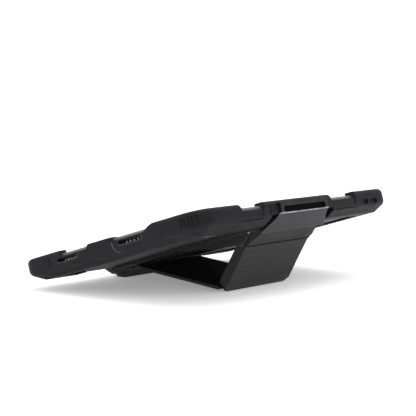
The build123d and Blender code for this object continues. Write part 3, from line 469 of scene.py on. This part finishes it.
def lower_half(length):
    """Part of a slot's outline that the highlight bead follows: its lower side and the round of its uphill
    end, where the lip catches the light.
    """
    points = [(along, across) for along, across in stadium(length, SLOT_HEIGHT)
              if across > 0.4 or along > length / 2 - 3]
    return sorted(points, key=lambda point: (point[0], -point[1]))


for side, side_name in ((1, "right"), (-1, "left")):
    for level, (where_s, length) in SOCKETS.items():
        path = [place(side * BEAD_REACH, where_s + along, SLOT_DEPTH + across)
                for along, across in lower_half(length)]
        tube(f"slot_highlight_bead_{side_name}_{level}", path, 0.0003, "tablet", "case_plastic", LIGHT_BEAD)
        for i in range(CONTACTS):
            contact_s = where_s - length / 2 + 6.5 + i * (length - CONTACT_INSET) / (CONTACTS - 1)
            base = place(side * CONTACT_REACH, contact_s, CONTACT_DEPTH)
            screw(f"contact_{side_name}_{level}_{i}", base, ACROSS * side, 0.0007, 0.0012,
                  slot="connector_metal")

# the rubber's side is upright, then turns through a soft bend onto the bevel, in millimetres
BEND_START, BEND_END, BEND_RADIUS = 7.45, 12.7, 6.0
GUARD_REACH = 145.0
BEVEL_SLOPE = 12.0 / 6.6


def guard_face(depth):
    """How far out the rubber's side reaches at a depth, in millimetres."""
    bend = min(max(depth - BEND_START, 0.0), BEND_END - BEND_START)
    reach = GUARD_REACH - BEND_RADIUS + (BEND_RADIUS ** 2 - bend ** 2) ** 0.5
    return reach - BEVEL_SLOPE * max(depth - BEND_END, 0.0)


# mould line where the side guard meets the rear corner guard
MOULD_LINE_DEPTHS = [3.6 + 0.9 * step for step in range(12)]
MOULD_LINE_S, MOULD_LINE_CURVE = 106.6, 0.035
for side, side_name in ((1, "right"), (-1, "left")):
    path = []
    for depth in MOULD_LINE_DEPTHS:
        line_s = MOULD_LINE_S + MOULD_LINE_CURVE * (depth - 4.0) ** 2
        path.append(place(side * (guard_face(depth) - 0.1), line_s, depth))
    tube(f"mould_line_{side_name}", path, 0.00024, "tablet", "guard_rubber", LIGHT_BEAD)

# small screws beside the bracket
for side, side_name in ((1, "right"), (-1, "left")):
    screw(f"bracket_screw_{side_name}", place(side * 50.2, 178.0, 19.0), -OUT, 0.0009, 0.0007)


def shade_sheet(name, x_range, depth_range, s_range, corner, material):
    """Thin plate with round corners that stands square to the uphill direction; it serves as a near-black
    sheet that paints shade.
    """
    bm = bmesh.new()
    middle_x = sum(x_range) / 2
    middle_depth = sum(depth_range) / 2
    half_x = (x_range[1] - x_range[0]) / 2 - corner
    half_depth = (depth_range[1] - depth_range[0]) / 2 - corner
    outline = []
    for turn in range(0, 360, 15):
        angle = radians(turn)
        outline.append((middle_x + (half_x if cos(angle) > 0 else -half_x) + corner * cos(angle),
                        middle_depth + (half_depth if sin(angle) > 0 else -half_depth) + corner * sin(angle)))
    rings = [[bm.verts.new(place(x, s, depth)) for x, depth in outline] for s in s_range]
    for i in range(len(outline)):
        following = (i + 1) % len(outline)
        bm.faces.new((rings[0][i], rings[0][following], rings[1][following], rings[1][i]))
    bm.faces.new(rings[1])
    bm.faces.new(list(reversed(rings[0])))
    return add_mesh(name, bm, "tablet", "seal_rubber", material)


# painted shade: a near-black sheet inside the clip's slot paints the shade there, and a near-black strip
# along the bracket's edge paints the shadow in the gap between bracket and leg
SHADE_VELVET = moulded("shade_velvet", (0.0015, 0.0015, 0.0018), (0.0030, 0.0030, 0.0034), (0.010, 0.010, 0.010),
                 (0.8, 0.95), grain=1400.0, Specular_IOR_Level=0.05)
shade_sheet("clip_slot_shade", (-31.0, 33.0), (3.2, 8.8), (205.1, 205.3), 2.0, SHADE_VELVET)
STRIP_HALF, STRIP_S, STRIP_DEPTH = 46.5, 170.3, 30.15
strip_ends = [place(end * STRIP_HALF, STRIP_S, STRIP_DEPTH) for end in (-1, 1)]
tube("bracket_gap_shade", strip_ends, 0.00042, "tablet", "seal_rubber", SHADE_VELVET)

# ---- floor, lights and camera ----
floor_mesh = bmesh.new()
bmesh.ops.create_grid(floor_mesh, x_segments=8, y_segments=8, size=9.0)
mesh = bpy.data.meshes.new("floor")
floor_mesh.to_mesh(mesh)
floor_mesh.free()
floor = bpy.data.objects.new("floor", mesh)
bpy.context.scene.collection.objects.link(floor)
paper = Shader("paper")
fibres = paper.noise(900.0, 4.0)
paper.finish(paper.mix(paper.ramp(fibres, 0.3, 0.7), (0.86, 0.86, 0.865), (0.89, 0.89, 0.895)), 0.75,
             paper.bump(fibres, 0.00002, 0.1), Emission_Color=(1, 1, 1, 1), Emission_Strength=0.26)
mesh.materials.append(paper.material)


def softbox(name, centre, target, size, power, mirrored=True):
    """Rectangular soft light; an unmirrored one lights surfaces but leaves no highlight on them."""
    light = bpy.data.lights.new(name, "AREA")
    light.shape = "RECTANGLE"
    light.size, light.size_y = size
    light.energy = power
    lamp = bpy.data.objects.new(name, light)
    bpy.context.scene.collection.objects.link(lamp)
    lamp.location = centre
    lamp.visible_glossy = mirrored
    lamp.rotation_euler = (Vector(target) - Vector(centre)).to_track_quat("-Z", "Y").to_euler()


softbox("overhead", (-0.2, 0.1, 1.7), (0, 0, 0), (1.8, 1.8), 16)
softbox("left_fill", (1.3, -1.7, 0.45), (0, 0, 0.0), (1.2, 0.8), 11, mirrored=False)
softbox("right_fill", (-1.4, 1.5, 0.5), (0, 0, 0.04), (0.9, 0.7), 8, mirrored=False)

world = bpy.data.worlds.new("studio")
bpy.context.scene.world = world
world.use_nodes = True
backdrop = world.node_tree.nodes["Background"]
backdrop.inputs[0].default_value = (1.0, 1.0, 1.0, 1)
backdrop.inputs[1].default_value = 1.15

# the camera stands low, behind the raised edge and to one side: place in metres, turn and drop in degrees
CAMERA_AT = (1.07352, 0.85199, 0.19411)
CAMERA_TURN, CAMERA_DROP = 128.62, 5.25
SENSOR_MM, LENS_MM = 36, 129.85
camera_data = bpy.data.cameras.new("camera")
camera = bpy.data.objects.new("camera", camera_data)
bpy.context.scene.collection.objects.link(camera)
turn, drop = radians(CAMERA_TURN), radians(CAMERA_DROP)
back = Vector((sin(turn) * cos(drop), -cos(turn) * cos(drop), sin(drop)))
camera.location = CAMERA_AT
camera.rotation_mode = "QUATERNION"
camera.rotation_quaternion = (-back).to_track_quat("-Z", "Y")
camera_data.sensor_width = SENSOR_MM
camera_data.lens = LENS_MM
camera_data.clip_start = 0.05
camera_data.clip_end = 60
bpy.context.scene.camera = camera
bpy.context.scene.view_settings.view_transform = "Standard"
bpy.context.scene.view_settings.look = "None"
